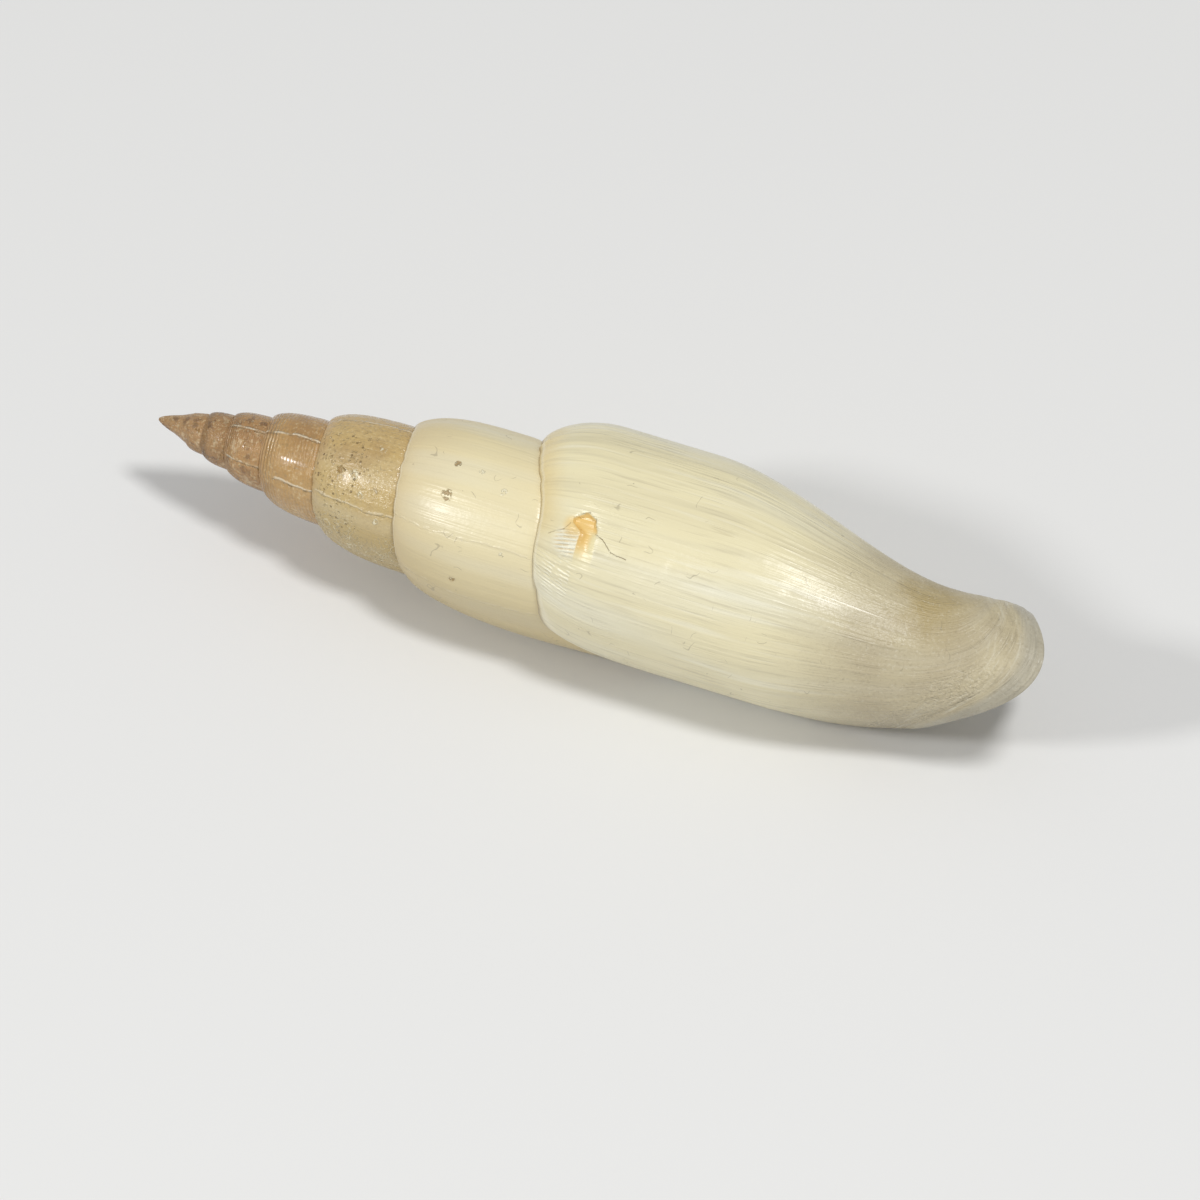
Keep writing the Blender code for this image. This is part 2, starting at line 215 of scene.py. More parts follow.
def fold_height(turn, x):
    """Ridges of the pillar, in the chamber at a turn, that wind on with its growth."""
    height = 0.0
    for place, rise in FOLDS:
        offset = (x - place * LENGTH * scale_of(turn)) / FOLD_WIDTH
        height += rise * LENGTH * math.exp(-offset * offset)
    return height


def skin_radius(turn, x):
    """Outer skin at a turn and a place along the axis."""
    growth = turn - (TURNS - 1)
    if growth < 0:
        return whorl_radius(turn, x)
    radius = body_radius(turn, x)
    if growth < SWELL_START:
        radius = mix(whorl_radius(turn, x), radius, ease(growth, 0, SWELL_START))
    return radius + fold_height(turn + 1, x) * (1 - ease(growth, 0, FOLD_LENGTH))


def spot_of(turn, x, radius):
    bearing = bearing_of(turn)
    return Vector((x, -radius * math.sin(bearing), radius * math.cos(bearing)))


def rim_x(turn):
    """Place along the axis where the skin of this turn meets the siphonal end."""
    x = LENGTH
    for _ in range(RIM_TRIES):
        spot = spot_of(turn, x, skin_radius(turn, x))
        tip_end = LENGTH - TIP_CURVE * (spot.y - TIP_OFFSET) ** 2 + TIP_SLANT * spot.z
        x = mix(x, tip_end, RIM_STEP)
    return x


def line_of(turn, x, rim):
    """Growth line through a place: it bends off the suture and wraps the siphonal end."""
    growth = turn - (TURNS - 1)
    if growth < 0:
        return turn
    wrapped = share(x, WRAP_START, rim) ** WRAP_POWER
    bend = LINE_BEND * math.exp(-(x - suture(turn)[0]) / BEND_LENGTH)
    return mix(turn + bend * ease(growth, *BEND_GROWTH), TURNS, wrapped)


def growth_relief(turn, x, rim):
    """Ripples along the growth lines, swells of the whole whorl, and the suture's groove."""
    line = line_of(turn, x, rim) * 360
    scale = min(1.0, scale_of(turn) * RELIEF_GAIN)
    start = suture(turn)[0]
    end = suture(turn + 1)[0] if turn <= TURNS - 1 else None
    gap = x - start if end is None else min(x - start, abs(end - x))
    free = ease(gap, 0, RELIEF_FREE * scale_of(turn + 0.5))
    ripples = sum(noise.noise(Vector((line / width, x / length, place))) * height
                  for width, length, place, height in RIPPLES)
    groove_turn = turn if end is None or x - start < end - x else turn + 1
    steep = 1 + 2 * ease(groove_turn, *WIDE_GROOVE_TURNS)
    groove = SUTURE_GROOVE * scale_of(groove_turn) ** 0.7
    groove *= math.exp(-gap / (steep * SUTURE_GROOVE_WIDTH * scale_of(groove_turn) ** 0.5))
    return (ripples * scale * free - groove) * ease(groove_turn, 0, 2)


# The healed break on the body's back: where its peak lies, and its forms in metres from it.
SCAR_BEARING = math.radians(-14.7)
SCAR_X = 0.5168 * LENGTH
SCAR_REACH = 0.060 * LENGTH
SCAR_GROWTH = (-0.012 * LENGTH, 0.110 * LENGTH)
RECESS_DEPTH = 0.00048
RECESS_FADE = (0.0004, 0.0070)

# Sides of its recess: millimetres that each shifts, over a stretch of growth in metres.
RECESS_LEFT = ((1.35, 0.0010, 0.0024), (-1.4, -0.0004, 0.0009))
RECESS_RIGHT = ((1.15, -0.0004, 0.0005), (0.5, 0.0003, 0.0020), (0.25, 0.0020, 0.0040))
RECESS_WIDTH = 0.3
LUMP_PLACE = (-0.0012, 0.0040)
LUMP_SIZE = (0.0014, 0.0020)
LUMP_HEIGHT = 0.00042
WRINKLE_HEIGHT = 0.000060
WRINKLE_LENGTH = 0.00052
FAN_PLACE = (-0.0015, 0.0085)
FAN_SIZE = (0.0030, 0.0022)
FAN_HEIGHT = 0.000040
FAN_LENGTH = 0.00062


def recess_sides(since):
    """Left and right side of the recess in millimetres, as it arches open and runs on."""
    left = sum(shift * ease(since, low, high) for shift, low, high in RECESS_LEFT)
    right = sum((shift * ease(since, low, high) for shift, low, high in RECESS_RIGHT), RECESS_WIDTH)
    return left, right


def hill(along, since, place, size):
    """A soft hill: 1 at its place, and falling away over its size."""
    off = Vector(((along - place[0]) / size[0], (since - place[1]) / size[1]))
    return math.exp(-off.length_squared)


def scar_relief(turn, x):
    """The healed break: an arched recess, a wrinkled lump beside it, and folds that fan out."""
    since = (bearing_of(turn) - SCAR_BEARING) * BODY_RADIUS
    along = x - SCAR_X
    left, right = recess_sides(since)
    recess = ease(along * 1000 - left, -0.10, 0.35)
    recess *= ease(right - along * 1000, -0.05, 0.25 + 0.9 * ease(since, 0.0015, 0.0035))
    recess *= ease(since, -0.0004, 0.0002) * (1 - ease(since, *RECESS_FADE))
    lump = hill(along, since, LUMP_PLACE, LUMP_SIZE)
    wobble = noise.noise(Vector((along / 0.0011, since / 0.0006, 5.0)))
    wrinkled = ease(lump, 0.25, 0.6) * (1 - ease(along, -0.0002, 0.0002))
    wrinkles = math.sin(2 * math.pi * (since + 0.19 * along) / WRINKLE_LENGTH)
    fanned = hill(along, since, FAN_PLACE, FAN_SIZE)
    folds = math.sin(2 * math.pi * (since - 0.32 * along) / FAN_LENGTH + 3 * wobble)
    return (LUMP_HEIGHT * lump - RECESS_DEPTH * recess + WRINKLE_HEIGHT * wrinkled * wrinkles
            + FAN_HEIGHT * fanned * folds)


def shape_strip(strip, first_turn, turns, columns):
    """Wind a flat grid round the axis, and note turn, place and growth line on two maps."""
    mesh = strip.data
    mesh.uv_layers[0].name = "whorl"
    mesh.uv_layers.new(name="line")
    whorl_marks = []
    line_marks = []
    rims = {}
    for vert in mesh.vertices:
        step = round((vert.co.x + 0.5) * turns * ROWS)
        column = round((vert.co.y + 0.5) * columns)
        turn = first_turn + step / ROWS
        if columns > WHORL_COLUMNS and step not in rims:
            rims[step] = rim_x(turn)
        rim = rims.get(step, LENGTH)
        start = suture(turn)[0]
        end = suture(min(turn + 1, TURNS))[0]
        growth = max(turn - (TURNS - 1), 0.0)
        end += BARE_STEP * growth
        if column <= WHORL_COLUMNS:
            along = column / WHORL_COLUMNS
            along -= CROWDING * math.sin(2 * math.pi * along)
            x = mix(start, end, along)
        else:
            along = (column - WHORL_COLUMNS) / BODY_COLUMNS
            x = mix(end, rim, along)
        radius = skin_radius(turn, x) + growth_relief(turn, x, rim)
        length, depth = RIM_ROUND
        rolled = share(x, rim - length, rim) if columns > WHORL_COLUMNS else 0.0
        radius -= depth * rolled ** 2 * ease(growth, 0, RIM_ROLL_START)
        vert.co = spot_of(turn, x, radius)
        whorl_marks.append((turn, (x - start) / (LIP_SUTURE * scale_of(turn))))
        line_marks.append((line_of(turn, x, rim), rim - x))
    for layer, marks in (("whorl", whorl_marks), ("line", line_marks)):
        for corner, place in zip(mesh.loops, mesh.uv_layers[layer].uv):
            place.vector = marks[corner.vertex_index]


def only(*pieces):
    """Select just these pieces; the first is the one that is worked on."""
    bpy.ops.object.select_all(action="DESELECT")
    for piece in pieces:
        piece.select_set(True)
    bpy.context.view_layer.objects.active = pieces[0]


def select_edge(piece, is_wanted):
    """Select the open edge's points that lie where they are wanted."""
    bpy.ops.mesh.select_all(action="DESELECT")
    bpy.ops.mesh.select_non_manifold()
    bpy.ops.object.mode_set(mode="OBJECT")
    wanted = [vert.select and is_wanted(vert.co) for vert in piece.data.vertices]
    piece.data.polygons.foreach_set("select", [False] * len(piece.data.polygons))
    piece.data.edges.foreach_set("select", [False] * len(piece.data.edges))
    piece.data.vertices.foreach_set("select", wanted)
    bpy.ops.object.mode_set(mode="EDIT")
    bpy.ops.mesh.select_mode(type="VERT")


bpy.ops.object.select_all(action="DESELECT")
spire_turns = TURNS - 1 - FIRST_TURN
bpy.ops.mesh.primitive_grid_add(x_subdivisions=round(spire_turns * ROWS),
                                y_subdivisions=WHORL_COLUMNS, size=1)
spire = bpy.context.object
shape_strip(spire, FIRST_TURN, spire_turns, WHORL_COLUMNS)
bpy.ops.mesh.primitive_grid_add(x_subdivisions=ROWS, y_subdivisions=WHORL_COLUMNS + BODY_COLUMNS,
                                size=1)
shell = bpy.context.object
shell.name = "glossy_shell"
shape_strip(shell, TURNS - 1, 1, WHORL_COLUMNS + BODY_COLUMNS)
ivory_skin = bpy.data.materials.new("glazed ivory skin")
worn_skin = bpy.data.materials.new("worn tan skin")
lining = bpy.data.materials.new("smooth mother layer")
for material in (ivory_skin, worn_skin, lining):
    material.use_nodes = True
    shell.data.materials.append(material)
    spire.data.materials.append(material)
for face in spire.data.polygons:
    face.material_index = 1
only(shell, spire)
bpy.ops.object.join()
bpy.ops.object.mode_set(mode="EDIT")
bpy.ops.mesh.select_all(action="SELECT")
SAME_POINT = 1e-6
SLACK = 1e-5
bpy.ops.mesh.remove_doubles(threshold=SAME_POINT)

# The skin is closed: the apex by rings that shrink to a point, the lip and the inner lip by
# flat faces in the mouth's plane, and the siphonal end by rings inside its rim.
nucleus_end = suture(FIRST_TURN + 1)[0]
select_edge(shell, lambda spot: spot.x < nucleus_end + SLACK)
for inset in NUCLEUS_RINGS:
    bpy.ops.mesh.extrude_edges_move()
    bpy.ops.transform.resize(value=(inset, inset, inset), center_override=(0, 0, 0))
bpy.ops.mesh.extrude_edges_move()
bpy.ops.mesh.merge(type="CENTER")
bpy.ops.object.mode_set(mode="OBJECT")
for vert in shell.data.vertices:
    if vert.co.x < NUCLEUS_ROUND[0]:
        rounder = (NUCLEUS_ROUND[0] / vert.co.x) ** NUCLEUS_ROUND[1]
        vert.co = (vert.co.x, vert.co.y * rounder, vert.co.z * rounder)
bpy.ops.object.mode_set(mode="EDIT")
bearing = bearing_of(TURNS)
outward = Vector((0, -math.sin(bearing), math.cos(bearing)))
onward = Vector((0, outward.z, -outward.y))
rim_ends = [rim_x(TURNS - 1), rim_x(TURNS)]


def in_mouth(spot):
    """True for the points of the lip and of the inner lip below it, in their plane."""
    return (spot.x > suture(TURNS)[0] - SLACK and spot.dot(outward) > 0
            and abs(spot.dot(onward)) < SAME_POINT)


select_edge(shell, lambda spot: (in_mouth(spot)
                                 and min(abs(spot.x - x) for x in rim_ends) < SAME_POINT))
bpy.ops.mesh.edge_face_add()
select_edge(shell, in_mouth)
bpy.ops.mesh.edge_face_add()
RIM_ZONE = 0.8 * LENGTH
select_edge(shell, lambda spot: spot.x > RIM_ZONE)
bpy.ops.object.mode_set(mode="OBJECT")
rim = [vert.co for vert in shell.data.vertices if vert.select]
centre = sum(rim, Vector()) / len(rim)
bpy.ops.object.mode_set(mode="EDIT")
for inset in RIM_RINGS:
    bpy.ops.mesh.extrude_edges_move()
    bpy.ops.transform.resize(value=(inset, inset, inset), center_override=centre)
bpy.ops.mesh.extrude_edges_move()
bpy.ops.mesh.merge(type="CENTER")

# The skin round the healed break is refined, and its relief pressed in.
bpy.ops.mesh.select_all(action="DESELECT")
bpy.ops.mesh.select_mode(type="FACE")
bpy.ops.object.mode_set(mode="OBJECT")


def since_scar(spot):
    return (math.atan2(-spot.y, spot.z) - SCAR_BEARING) * BODY_RADIUS


def near_scar(spot):
    low, high = SCAR_GROWTH
    return abs(spot.x - SCAR_X) < SCAR_REACH and low < since_scar(spot) < high


for face in shell.data.polygons:
    face.select = near_scar(face.center)
bpy.ops.object.mode_set(mode="EDIT")
bpy.ops.mesh.subdivide(number_cuts=2)
bpy.ops.mesh.select_all(action="SELECT")
bpy.ops.mesh.normals_make_consistent(inside=False)
bpy.ops.object.mode_set(mode="OBJECT")
for vert in shell.data.vertices:
    if near_scar(vert.co):
        turn = TURNS + (math.atan2(-vert.co.y, vert.co.z) - LIP_BEARING) / (2 * math.pi)
        x = vert.co.x
        radius = skin_radius(turn, x) + growth_relief(turn, x, LENGTH) + scar_relief(turn, x)
        if x > suture(turn)[0]:
            vert.co = spot_of(turn, x, radius)

# The living chamber, left hollow as the animal moved forward.  It is cut out of the solid
# skin by a winding plug that runs out through the mouth and the canal.
CHAMBER_TURNS = 2.6
CHAMBER_WELD = 1e-7
CHAMBER_LENGTH = 0.40 * LENGTH
LEAST_GAP = 0.006 * LENGTH
YOUNG_WALL = 0.2
MOUTH_TURNS = 0.06
CUTTER_FLARE = 0.25 * LENGTH
CUTTER_END = 1.08 * LENGTH
CANAL_OPENS = (0.20, 0.42)
PILLAR_STEPS = 40
WALL_STEPS = 22
CHAMBER_ROWS = 120


def chamber_walls(turn, x):
    """Inner and outer radius of the living chamber in the half plane of a turn."""
    beyond = max(turn - TURNS, 0.0)
    if beyond > 0:
        inner = skin_radius(turn - 1, x)
    else:
        inner = whorl_radius(turn - 1, x) + fold_height(turn, x)
    outer = skin_radius(min(turn, TURNS), min(x, LENGTH))
    wall = WALL * min(1.0, scale_of(turn) + YOUNG_WALL)
    return inner + GLAZE + CUTTER_FLARE * beyond, outer - wall


def chamber_range(turn):
    """Where the chamber starts and ends along the axis in the half plane of a turn."""
    scale = scale_of(turn)
    start = suture(min(turn, TURNS))[0]
    closed = start + CHAMBER_LENGTH * scale
    inner, outer = chamber_walls(turn, start)
    while outer - inner < LEAST_GAP * scale:
        start += WALL / 4
        inner, outer = chamber_walls(turn, start)
    growth = turn - (TURNS - 1)
    return start, mix(closed, CUTTER_END, ease(growth, *CANAL_OPENS))


def chamber_spot(turn, step):
    """Point of the chamber's outline in one half plane: down the pillar, and back on the wall."""
    start, end = chamber_range(turn)
    if step <= PILLAR_STEPS:
        x = mix(start, end, step / PILLAR_STEPS)
        return x, chamber_walls(turn, x)[0]
    x = mix(end, start, (step - PILLAR_STEPS - 1) / WALL_STEPS)
    inner, outer = chamber_walls(turn, x)
    return x, max(outer, inner + LEAST_GAP * scale_of(turn) / 2)


steps = PILLAR_STEPS + WALL_STEPS + 2
bpy.ops.object.select_all(action="DESELECT")
bpy.ops.mesh.primitive_grid_add(x_subdivisions=CHAMBER_ROWS, y_subdivisions=steps, size=1)
chamber = bpy.context.object
chamber.data.uv_layers[0].name = "whorl"
chamber.data.uv_layers.new(name="line")
turns_back = CHAMBER_TURNS + MOUTH_TURNS
marks = []
for vert in chamber.data.vertices:
    back = 0.5 - vert.co.x
    turn = TURNS + MOUTH_TURNS - turns_back * (0.5 * back + 0.5 * back * back)
    step = round((vert.co.y + 0.5) * steps) % steps
    x, radius = chamber_spot(turn, step)
    vert.co = spot_of(turn, x, radius)
    marks.append((turn, 1.0))
for layer in chamber.data.uv_layers:
    for corner, place in zip(chamber.data.loops, layer.uv):
        place.vector = marks[corner.vertex_index]
bpy.ops.object.mode_set(mode="EDIT")
bpy.ops.mesh.select_mode(type="VERT")
bpy.ops.mesh.select_all(action="SELECT")
bpy.ops.mesh.remove_doubles(threshold=CHAMBER_WELD)
bpy.ops.mesh.select_all(action="DESELECT")
bpy.ops.mesh.select_non_manifold()
bpy.ops.mesh.fill_holes(sides=0)
bpy.ops.mesh.select_all(action="SELECT")
bpy.ops.mesh.normals_make_consistent(inside=False)
bpy.ops.object.mode_set(mode="OBJECT")

for material in (ivory_skin, worn_skin, lining):
    chamber.data.materials.append(material)
for face in chamber.data.polygons:
    face.material_index = 2

only(shell)
hollow = shell.modifiers.new("living chamber", "BOOLEAN")
hollow.operation = "DIFFERENCE"
hollow.solver = "EXACT"
hollow.object = chamber
bpy.ops.object.modifier_apply(modifier="living chamber")
bpy.data.objects.remove(chamber)

# It is rolled to its rest, lying on its lip and the body beside it.
shell.data.transform(Matrix.Rotation(REST_ROLL, 4, "X"))
low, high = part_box("shell")
spots = [vert.co for vert in shell.data.vertices]
lows = [min(spot[axis] for spot in spots) for axis in range(3)]
highs = [max(spot[axis] for spot in spots) for axis in range(3)]
rest = Vector([(low[axis] + high[axis] - lows[axis] - highs[axis]) / 2 for axis in range(2)]
              + [low.z - lows[2]])
shell.data.transform(Matrix.Translation(rest))
only(shell)
SMOOTH_ANGLE = math.radians(35)
bpy.ops.object.shade_smooth_by_angle(angle=SMOOTH_ANGLE)


class Signal:
    """A socket of a finish being mixed; sums and products of signals add its Math nodes."""

    def __init__(self, finish, socket):
        self.finish = finish
        self.socket = socket

    def node(self, kind, settings, inputs, output=0):
        """Add any node: its settings first, then the values or links of its sockets."""
        added = self.finish.nodes.new(kind)
        for name, value in settings.items():
            if name == "stops":
                ramp = added.color_ramp
                while len(ramp.elements) < len(value):
                    ramp.elements.new(1)
                for element, (position, colour) in zip(ramp.elements, value):
                    element.position = position
                    element.color = (*colour, 1)
            else:
                setattr(added, name, value)
        for name, value in inputs.items():
            if isinstance(value, Signal):
                self.finish.links.new(value.socket, added.inputs[name])
            else:
                added.inputs[name].default_value = value
        return Signal(self.finish, added.outputs[output])

    def math(self, operation, *values):
        return self.node("ShaderNodeMath", {"operation": operation}, dict(enumerate(values)))

    def __add__(self, other):
        return self.math("ADD", self, other)

    __radd__ = __add__

    def __sub__(self, other):
        return self.math("SUBTRACT", self, other)

    def __rsub__(self, other):
        return self.math("SUBTRACT", other, self)

    def __mul__(self, other):
        return self.math("MULTIPLY", self, other)

    __rmul__ = __mul__

    def __truediv__(self, other):
        return self.math("DIVIDE", self, other)

    def __abs__(self):
        return self.math("ABSOLUTE", self)

    def wave(self):
        """Sine of an angle in radians."""
        return self.math("SINE", self)

    def rise(self, low, high):
        """Softly from 0 at low to 1 at high; falls where low is the greater."""
        return self.node("ShaderNodeMapRange", {"interpolation_type": "SMOOTHSTEP"},
                         {"Value": self, "From Min": low, "From Max": high})

    def part(self, name):
        return self.node("ShaderNodeSeparateXYZ", {}, {"Vector": self}, name)

    def beside(self, y, z=0.0):
        return self.node("ShaderNodeCombineXYZ", {}, {"X": self, "Y": y, "Z": z})

    def grain(self, scale, detail=0.0):
        """Cloudy noise over a place, between 0 and 1."""
        return self.node("ShaderNodeTexNoise", {"noise_dimensions": "3D"},
                         {"Vector": self, "Scale": scale, "Detail": detail})

    def cells(self, scale, output="Distance"):
        return self.node("ShaderNodeTexVoronoi", {}, {"Vector": self, "Scale": scale}, output)

    def gap_to(self, spot):
        """Distance of a place from a spot."""
        return self.node("ShaderNodeVectorMath", {"operation": "DISTANCE"}, {0: self, 1: spot},
                         "Value")

    def stained(self, colour, amount):
        """A colour, mixed towards another by an amount."""
        return self.node("ShaderNodeMix", {"data_type": "RGBA"},
                         {6: self, 7: (*colour, 1), 0: amount}, 2)


# Outer skin.  Translucent aragonite under a thin glaze, streaked with chalk and horn along
# its growth lines; the old whorls are worn and stained, and the body is still clean.
unroll = Matrix.Rotation(-REST_ROLL, 3, "X")
COAT_ROUGHNESS = 0.16

# Colour of the skin by the turn in which it was laid down.
AGE_COLOURS = ((2.4, (0.40, 0.230, 0.095)), (3.8, (0.46, 0.265, 0.105)),
               (4.9, (0.48, 0.295, 0.110)), (5.45, (0.55, 0.380, 0.150)),
               (5.75, (0.56, 0.420, 0.185)), (6.20, (0.66, 0.540, 0.260)),
               (6.65, (0.82, 0.730, 0.470)), (7.40, (0.84, 0.765, 0.490)),
               (7.70, (0.80, 0.730, 0.480)), (8.00, (0.72, 0.660, 0.470)))

# Colours that both skins share, and how fine their clouds and grains are.
CHALK_BAND = (0.78, 0.76, 0.62)
HORN_BAND = (0.58, 0.51, 0.33)
HORN_STREAK = (0.46, 0.42, 0.31)
CHALK_STREAK = (0.90, 0.88, 0.74)
HORN_LINE = (0.42, 0.36, 0.24)
CHALK_LINE = (0.84, 0.80, 0.64)
SPECK = (0.24, 0.190, 0.120)
HAIR = (0.26, 0.220, 0.150)
SUTURE_DARK_LINE = (0.24, 0.150, 0.070)
SUTURE_EDGE_HIGHLIGHT = (0.86, 0.800, 0.640)
CLOUD_SCALE = 180
MOTTLE_SCALE = 900
GRIT_SCALE = 2600
SPECK_SCALE = 560


def grown_skin(material):
    """What both skins share: places, noises, and colour by age streaked along the growth."""
    finish = material.node_tree
    place = Signal(finish, finish.nodes.new("ShaderNodeTexCoord").outputs["Object"])
    place = place.node("ShaderNodeMapping", {},
                       {"Vector": place, "Location": -(unroll @ rest),
                        "Rotation": (-REST_ROLL, 0, 0)})
    x = place.part("X")
    whorl_map = place.node("ShaderNodeUVMap", {"uv_map": "whorl"}, {}, "UV")
    line = place.node("ShaderNodeUVMap", {"uv_map": "line"}, {}, "UV").part("X")
    turn = whorl_map.part("X")
    below = whorl_map.part("Y")
    cloud = place.grain(CLOUD_SCALE, 2)
    mottle = place.grain(MOTTLE_SCALE, 2)
    grit = place.grain(GRIT_SCALE, 2)
    bands = (line * 15).beside(x * 22).grain(1, 1)
    wide_lines = (line * 62).beside(x * 45).grain(1, 1)
    fine_lines = (line * 230).beside(x * 90).grain(1, 2)
    stops = [(age / TURNS, colour) for age, colour in AGE_COLOURS]
    tone = turn.node("ShaderNodeValToRGB", {"stops": stops}, {0: turn / TURNS})
    grown = turn.rise(5.2, 6.4)
    tone = tone.stained(CHALK_BAND, bands.rise(0.45, 0.70) * grown * 0.50)
    tone = tone.stained(HORN_BAND, bands.rise(0.48, 0.28) * grown * 0.16)
    last = turn.rise(6.8, 7.3)
    tone = tone.stained(HORN_STREAK, wide_lines.rise(0.56, 0.74) * last * 0.20)
    tone = tone.stained(CHALK_STREAK, wide_lines.rise(0.42, 0.26) * last * 0.35)
    tone = tone.stained(HORN_LINE, fine_lines.rise(0.54, 0.76) * (last * 0.20 + 0.12))
    tone = tone.stained(CHALK_LINE, fine_lines.rise(0.45, 0.26) * (last * 0.20 + 0.08))
    return place, x, turn, below, line, cloud, mottle, grit, wide_lines, fine_lines, tone


def with_dirt_and_highlight(tone, place, turn, below, mottle):
    """Add specks, hairs, the suture's dark line, and a painted highlight on the raised edge by it.
    """
    below = below / (turn.rise(*WIDE_GROOVE_TURNS) * 2.0 + 1.0)
    speck_kind = place.cells(SPECK_SCALE, "Color").part("X")
    specks = place.cells(SPECK_SCALE).rise(0.075, 0.030) * speck_kind.rise(0.78, 0.80)
    tone = tone.stained(SPECK, specks * 0.45)
    hairs = abs(place.grain(420, 1) - 0.5).rise(0.014, 0.004)
    tone = tone.stained(HAIR, hairs * place.grain(460, 0).rise(0.68, 0.74) * 0.40)
    suture_line = below.rise(0.0060, 0.0015) * turn.rise(1.9, 2.6) * (mottle * 0.5 + 0.6)
    tone = tone.stained(SUTURE_DARK_LINE, suture_line * 0.70)
    # The raised edge beside the suture is painted pale: a painted highlight.
    edge = below.rise(0.004, 0.008) * below.rise(0.016, 0.010) * turn.rise(1.9, 2.6)
    return tone.stained(SUTURE_EDGE_HIGHLIGHT, edge * turn.rise(5.6, 6.2) * 0.4), edge


def coat(material, tone, height, roughness, glaze):
    """Lay a skin's colour, relief in millimetres, roughness and glaze on its material."""
    finish = material.node_tree
    bump = tone.node("ShaderNodeBump", {}, {"Height": height, "Distance": 0.001, "Strength": 1.0})
    skin = finish.nodes["Principled BSDF"]
    finish.links.new(tone.socket, skin.inputs["Base Color"])
    finish.links.new(roughness.socket, skin.inputs["Roughness"])
    finish.links.new(bump.socket, skin.inputs["Normal"])
    finish.links.new(glaze.socket, skin.inputs["Coat Weight"])
    skin.inputs["Coat Roughness"].default_value = COAT_ROUGHNESS


# The old whorls: blotched, brown in their hollows and paler where they are rubbed.
BROWN_BLOTCH = (0.30, 0.160, 0.065)
TAN_BLOTCH = (0.60, 0.430, 0.220)
DARK_MOTTLE = (0.17, 0.090, 0.040)
PALE_MOTTLE = (0.68, 0.530, 0.330)
DARK_GRIT = (0.32, 0.220, 0.100)
RUBBED_GRIT = (0.76, 0.650, 0.400)
WARM_TOP = (0.62, 0.480, 0.260)
OLD_FLUSH = (0.50, 0.310, 0.160)
YOUNG_FLUSH = (0.72, 0.560, 0.300)
LOWER_SIDE_SHADE = (0.46, 0.350, 0.160)
VEIN = (0.80, 0.720, 0.500)
RIDGE = (0.86, 0.780, 0.590)
FURROW_SHADOW = (0.26, 0.180, 0.085)
BROKEN_SKIN = (0.30, 0.170, 0.040)
CHIP = (0.88, 0.830, 0.620)
PIT = (0.22, 0.140, 0.055)
PIT_SCALE = 2300

place, x, turn, below, _, cloud, mottle, grit, wide_lines, fine_lines, tone = grown_skin(worn_skin)
old = turn.rise(6.1, 5.3)
tone = tone.stained(BROWN_BLOTCH, cloud.rise(0.50, 0.72) * old * 0.45)
tone = tone.stained(TAN_BLOTCH, cloud.rise(0.46, 0.28) * old * 0.35)
tone = tone.stained(DARK_MOTTLE, mottle.rise(0.56, 0.68) * turn.rise(5.0, 3.4) * 0.7)
tone = tone.stained(PALE_MOTTLE, mottle.rise(0.42, 0.30) * turn.rise(5.4, 3.6) * 0.6)
tone = tone.stained(DARK_GRIT, grit.rise(0.54, 0.68) * old * 0.45)
tone = tone.stained(RUBBED_GRIT, grit.rise(0.43, 0.30) * old * 0.35)
tone = tone.stained(WARM_TOP, below.rise(0.34, 0.0) * turn.rise(6.0, 6.3) * 0.40)
warm = below.rise(0.09, 0.0) * turn.rise(1.8, 2.6)
tone = tone.stained(OLD_FLUSH, warm * turn.rise(6.2, 5.2) * 0.55)
tone = tone.stained(YOUNG_FLUSH, warm * turn.rise(5.9, 6.3) * 0.35)

# The lower side of the fifth whorl is etched and veined. The lower sides of the fifth and sixth
# whorls are darkened with painted shade.
etched_below = turn.rise(5.70, 5.84) * turn.rise(6.2, 6.0)
lower = turn.rise(6.66, 6.88) * 0.65 + etched_below * 0.85
tone = tone.stained(LOWER_SIDE_SHADE, lower)
veins = abs(place.grain(1100, 1) - 0.5).rise(0.030, 0.010) * etched_below * cloud.rise(0.42, 0.52)
tone = tone.stained(VEIN, veins * 0.6)

# Scars of older lips run down the whorls as thin wandering ridges, each with a furrow beside it
# that is painted dark as painted shadow.
wander = (cloud - 0.5) * 1.2 + (mottle - 0.5) * 0.7
round_whorl = (x * SPIRE_SPREAD + APEX_RADIUS) * (2000 * math.pi)
OLD_LIPS = ((3.59, 0.0), (3.745, 0.1), (4.589, 0.0), (4.745, 0.3), (5.495, 0.1), (5.728, 0.06),
            (5.865, 0.0), (6.712, 0.0), (6.817, 0.0))
ridges = 0.0
shadowed_furrows = 0.0
for lip_turn, top in OLD_LIPS:
    off = (turn - lip_turn) * round_whorl + wander * min(1.0, 0.25 * lip_turn - 0.5)
    run = below.rise(top / 2 - 0.02, top / 2 + 0.02)
    ridges = abs(off).rise(0.18, 0.04) * run + ridges
    shadowed_furrows = abs(off - 0.18).rise(0.12, 0.02) * run + shadowed_furrows
ridges = ridges * (old * 0.7 + 0.3) * mottle.rise(0.36, 0.54)
shadowed_furrows = shadowed_furrows * (old * 0.85 + 0.15) * mottle.rise(0.56, 0.42)
tone = tone.stained(RIDGE, ridges * 0.60)
# The dark line beside each ridge is painted shadow.
tone = tone.stained(FURROW_SHADOW, shadowed_furrows * 0.60)

# Places where the old skin is broken, brown in the cracks, and chips that shine.
BROKEN = ((6.65, 0.375, 0.75), (6.59, 0.42, 0.35), (6.79, 0.45, 0.45), (5.63, 0.20, 0.50),
          (5.66, 0.35, 0.45), (5.717, 0.18, 0.50), (2.79, 0.85, 0.40), (1.66, 0.65, 0.35))
CHIPS = ((6.594, 0.60, 0.40), (6.617, 0.75, 0.50), (5.583, 0.75, 0.50), (6.72, 0.80, 0.35),
         (5.661, 0.52, 0.70), (5.70, 0.62, 0.45), (5.75, 0.80, 0.50))


